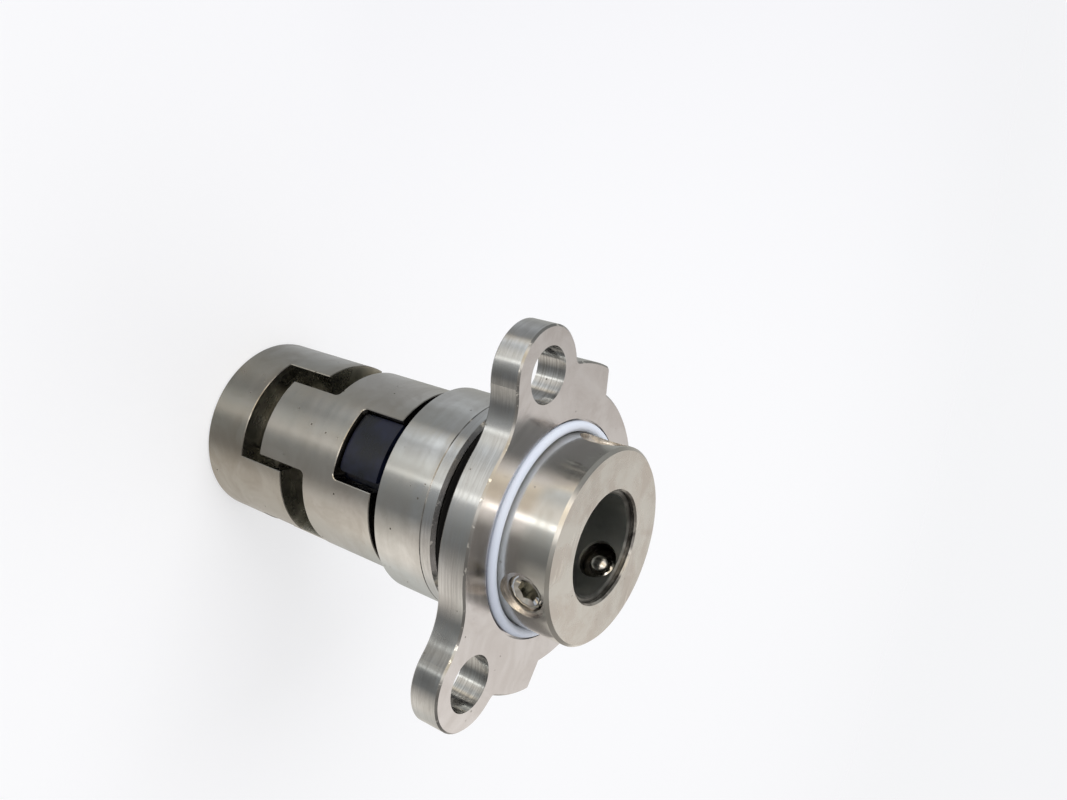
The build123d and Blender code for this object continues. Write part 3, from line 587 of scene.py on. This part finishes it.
# Between the dogs and in the windows the metal is painted dark in patches: painted shade.
BETWEEN_DOGS = (RING_SKIN, -FAR, CUP_FLOOR, *NOTCH_SHADE)
WINDOWS = (RING_SKIN, CUP_FLOOR, FAR, (0.06, 0.055, 0.045), (0.14, 0.13, 0.11))
dress("face_carrier", turned_steel("carrier_steel", (0.625, 0.61, 0.585), 0.18, marks=4.0, depth=1.1e-6,
                                   swirl=0.6, pits=1.0, scratches=0.8, soiled=0.5, worn_edges=True,
                                   recesses=(BETWEEN_DOGS, WINDOWS)))


# ---- Spring and thrust washer ----
# A coil of drawn stainless wire with ground ends, which presses the faces together, and the flat washer that it
# pushes on. Both are dull and lightly oiled, and the coil is painted darker as well, a painted shade inside the
# carrier. The coil shortens as the sleeve is set further into the gland plate.
dress("drive_spring", turned_steel("spring_steel", (0.46, 0.445, 0.41), 0.32, marks=10.0, swirl=0.0, pits=0.2))
coil = bpy.data.objects.new("drive_spring_coil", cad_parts["drive_spring"].data.copy())
bpy.context.scene.collection.objects.link(coil)
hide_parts("drive_spring")
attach(coil, "spring")
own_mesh(coil)
dress("thrust_washer", turned_steel("washer_steel", (0.50, 0.49, 0.46), 0.30, marks=10.0))


# ---- Floor ----
# A plain white sheet under the drive ring. The camera sees it nearly white with the seal's soft shadow on it,
# and far off it runs out into the plain backdrop; polished metal sees the pale room in its place.
FLOOR_HALF = 6.0
FLOOR_COLOUR = (0.47, 0.47, 0.485, 1.0)
FLOOR_GLOW = 0.535
floor_z = cad_box[0].z
sheet = bpy.data.meshes.new("floor")
sheet.from_pydata([(-FLOOR_HALF, -FLOOR_HALF, floor_z), (FLOOR_HALF, -FLOOR_HALF, floor_z),
                   (FLOOR_HALF, FLOOR_HALF, floor_z), (-FLOOR_HALF, FLOOR_HALF, floor_z)], [], [(0, 1, 2, 3)])
floor = bpy.data.objects.new("floor", sheet)
bpy.context.collection.objects.link(floor)
paper = bpy.data.materials.new("floor_paper")
paper.use_nodes = True
t = paper.node_tree
t.nodes.remove(t.nodes["Principled BSDF"])
rays = node(t, "ShaderNodeLightPath")
matt = node(t, "ShaderNodeBsdfDiffuse", {"Color": FLOOR_COLOUR})
spot = node(t, "ShaderNodeSeparateXYZ", {0: node(t, "ShaderNodeTexCoord").outputs["Object"]})
sideways = maths(t, "DIVIDE", spot.outputs[0], plus(t, 0.16, maths(t, "ABSOLUTE", spot.outputs[1])))
# The camera's glow is painted dimmer and bluer towards -X: a painted falloff of light that balances the key
# box's pool on the floor.
wash = blend_colour(t, remap(t, sideways, 0.1, -1.0), (1.0, 1.0, 1.0, 1.0), (0.78, 0.78, 0.81, 1.0))
shine = times(t, rays.outputs["Is Camera Ray"], FLOOR_GLOW)
glow = node(t, "ShaderNodeEmission", {"Color": wash, "Strength": shine})
lit = node(t, "ShaderNodeAddShader", {0: matt.outputs[0], 1: glow.outputs[0]})
mirrored = maths(t, "MAXIMUM", rays.outputs["Is Glossy Ray"], rays.outputs["Is Transmission Ray"])
through = node(t, "ShaderNodeBsdfTransparent")
far_off = times(t, rays.outputs["Is Camera Ray"], remap(t, from_axis(t, spot), 0.25, 0.90))
choice = node(t, "ShaderNodeMixShader", {0: maths(t, "MAXIMUM", mirrored, far_off), 1: lit.outputs[0],
                                         2: through.outputs[0]})
t.links.new(choice.outputs[0], t.nodes["Material Output"].inputs["Surface"])
sheet.materials.append(paper)


# ---- Room ----
# A pale room with a tall window and a dim side where the viewer stands, which only polished metal sees: matt
# pieces get an even soft light, and the camera a plain backdrop. Each wall is a row of (bearing, level, tint),
# listed in steps of 5 degrees and 0.05, and the walls lie one above another.
GREY, COOL, WARM, BEIGE = (1.0, 1.0, 0.98), (0.98, 0.99, 1.0), (1.0, 0.97, 0.93), (1.0, 0.94, 0.84)
LOW_WALL = ((-180, 0.50, GREY), (-165, 0.50, GREY), (-150, 0.40, GREY), (-135, 0.40, GREY),
            (-115, 0.55, GREY), (-100, 0.60, WARM), (-85, 0.45, GREY), (-50, 0.45, WARM),
            (-25, 0.65, WARM), (40, 0.65, WARM), (110, 0.60, COOL), (150, 0.50, COOL))
HIGH_WALL = ((-180, 0.55, COOL), (-160, 0.50, COOL), (-145, 0.85, COOL), (-140, 0.85, COOL),
             (-135, 0.75, COOL), (-115, 0.80, GREY), (-105, 0.75, GREY), (-100, 0.75, GREY),
             (-95, 0.55, COOL), (-75, 0.45, COOL), (-60, 0.45, COOL), (-35, 0.75, WARM),
             (-20, 0.85, WARM), (-5, 0.85, WARM), (20, 0.70, GREY), (50, 0.60, GREY),
             (110, 0.55, GREY), (160, 0.65, COOL))
FRONT_WALL = ((-180, 0.40, GREY), (-160, 0.45, WARM), (-155, 0.80, BEIGE), (-150, 0.90, BEIGE),
              (-140, 0.70, GREY), (-130, 0.70, GREY), (-120, 0.80, WARM), (-110, 0.85, WARM),
              (-100, 0.85, GREY), (-90, 0.65, GREY), (-75, 0.45, GREY), (-60, 0.35, GREY),
              (-35, 0.60, WARM), (-10, 0.70, WARM), (60, 0.70, WARM), (110, 0.55, GREY),
              (125, 0.55, GREY), (145, 0.40, GREY))
UPPER_WALL = ((-180, 0.50, GREY), (-165, 0.50, GREY), (-155, 0.80, WARM), (-145, 1.00, WARM),
              (-135, 1.00, BEIGE), (-125, 0.90, BEIGE), (-110, 0.95, BEIGE), (-100, 1.05, WARM),
              (-90, 1.00, WARM), (-75, 0.55, WARM), (-40, 0.45, WARM), (-20, 0.55, WARM),
              (5, 0.45, WARM), (50, 0.55, WARM), (60, 0.90, WARM), (70, 0.80, WARM),
              (85, 0.75, WARM), (95, 0.65, WARM), (135, 0.50, GREY))
world = bpy.data.worlds.new("room")
bpy.context.scene.world = world
world.use_nodes = True
t = world.node_tree
xyz = node(t, "ShaderNodeSeparateXYZ", {0: node(t, "ShaderNodeTexCoord").outputs["Generated"]})
bearing = times(t, maths(t, "ARCTAN2", xyz.outputs[1], xyz.outputs[0]), 180 / math.pi)
rise = times(t, maths(t, "ARCSINE", xyz.outputs[2]), 180 / math.pi)
turn = plus(t, maths(t, "DIVIDE", bearing, 360.0), 0.5)
WALL_TOP, WALL_LEVEL = 1.2, 0.62
DISPLAY_GAMMA = 2.2
EVEN_LIGHT, BACKDROP = (0.98, 0.985, 1.0, 1.0), (0.912, 0.915, 0.93, 1.0)


def wall(row):
    """Ring round the horizon that runs through a row of (bearing, level, tint) and closes on itself."""
    ramp = node(t, "ShaderNodeValToRGB", {0: turn})
    stops = ramp.color_ramp.elements
    while len(stops) < len(row) + 1:
        stops.new(len(stops) / 40)
    for stop, (angle, level, tint) in zip(stops, row + ((180, *row[0][1:]),)):
        stop.position = angle / 360 + 0.5
        stop.color = (*[(level * part) ** DISPLAY_GAMMA / WALL_TOP for part in tint], 1.0)
    return ramp.outputs[0]


lower = blend_colour(t, remap(t, rise, -40.5, -37.5), wall(LOW_WALL), wall(HIGH_WALL))
front = blend_colour(t, remap(t, rise, -33.5, -30.0), lower, wall(FRONT_WALL))
tones = blend_colour(t, remap(t, rise, -20.0, 5.0), front, wall(UPPER_WALL))
tones = blend_colour(t, remap(t, rise, 55.0, 80.0), tones, (0.55, 0.55, 0.56, 1.0))
off_window = plus(t, bearing, 100.0)
half_width = remap(t, rise, -38.0, -29.0, 2.6, 4.6)
sides = maths(t, "POWER", maths(t, "DIVIDE", off_window, half_width), 4.0)
window = times(t, minus(t, 1.0, sides, clamp=True), remap(t, rise, -40.0, -27.0, 0.0, 1.0))
strength = plus(t, WALL_TOP / WALL_LEVEL, times(t, window, times(t, remap(t, rise, 50.0, 35.0), 2.4)))
walls = node(t, "ShaderNodeBackground", {"Color": tones, "Strength": strength})
even = node(t, "ShaderNodeBackground", {"Color": EVEN_LIGHT, "Strength": 0.52})
plain = node(t, "ShaderNodeBackground", {"Color": BACKDROP, "Strength": 1.0})
rays = node(t, "ShaderNodeLightPath")
mirrored = maths(t, "MAXIMUM", rays.outputs["Is Glossy Ray"], rays.outputs["Is Transmission Ray"])
seen = node(t, "ShaderNodeMixShader", {0: mirrored, 1: even.outputs[0], 2: walls.outputs[0]})
shown = node(t, "ShaderNodeMixShader", {0: rays.outputs["Is Camera Ray"], 1: seen.outputs[0],
                                        2: plain.outputs[0]})
t.links.new(shown.outputs[0], t.nodes["World Output"].inputs["Surface"])


# ---- Lamps ----
# One large soft box above the ears' side, and a wider, weaker one over the front, both plain white. Polished
# metal shows the room's walls and not the boxes.
def soft_box(name, place, aim, side, level):
    """Square lamp that lights a matt surface facing it at the given level."""
    data = bpy.data.lights.new(name, "AREA")
    data.shape, data.size = "SQUARE", side
    way = Vector(aim) - Vector(place)
    data.energy = level * math.pi ** 2 * way.length ** 2
    lamp = bpy.data.objects.new(name, data)
    lamp.location = place
    lamp.rotation_mode = "QUATERNION"
    lamp.rotation_quaternion = way.to_track_quat("-Z", "Y")
    lamp.visible_glossy = False
    bpy.context.collection.objects.link(lamp)


middle = (cad_box[0] + cad_box[1]) / 2
soft_box("key_box", (-0.62, -0.28, 0.62), middle, 0.75, 0.55)
soft_box("fill_box", (0.25, 0.65, 0.75), middle, 0.9, 0.22)


# ---- Camera ----
# The viewer looks down on the front of the plate from close by. The camera is rolled over, so that the
# shaft's axis lies across the view.
AZIMUTH, ELEVATION, ROLL = -1.358, 34.306, 105.052
CAMERA_AT = (-0.026151, -0.137564, 0.081402)
a, e, r = (math.radians(v) for v in (AZIMUTH, ELEVATION, ROLL))
forward = Vector((-math.sin(a) * math.cos(e), math.cos(a) * math.cos(e), -math.sin(e)))
level = Vector((math.cos(a), math.sin(a), 0.0))
upright = level.cross(forward)
right = level * math.cos(r) + upright * math.sin(r)
up = right.cross(forward)
lens = bpy.data.cameras.new("camera")
lens.sensor_width, lens.lens = 36.0, 34.39
lens.shift_x, lens.shift_y = 0.0292, -0.0366
lens.clip_start, lens.clip_end = 0.005, 50.0
camera = bpy.data.objects.new("camera", lens)
camera.matrix_world = Matrix.Translation(CAMERA_AT) @ Matrix((right, up, -forward)).transposed().to_4x4()
bpy.context.collection.objects.link(camera)
bpy.context.scene.camera = camera
bpy.context.scene.view_settings.view_transform = "Standard"
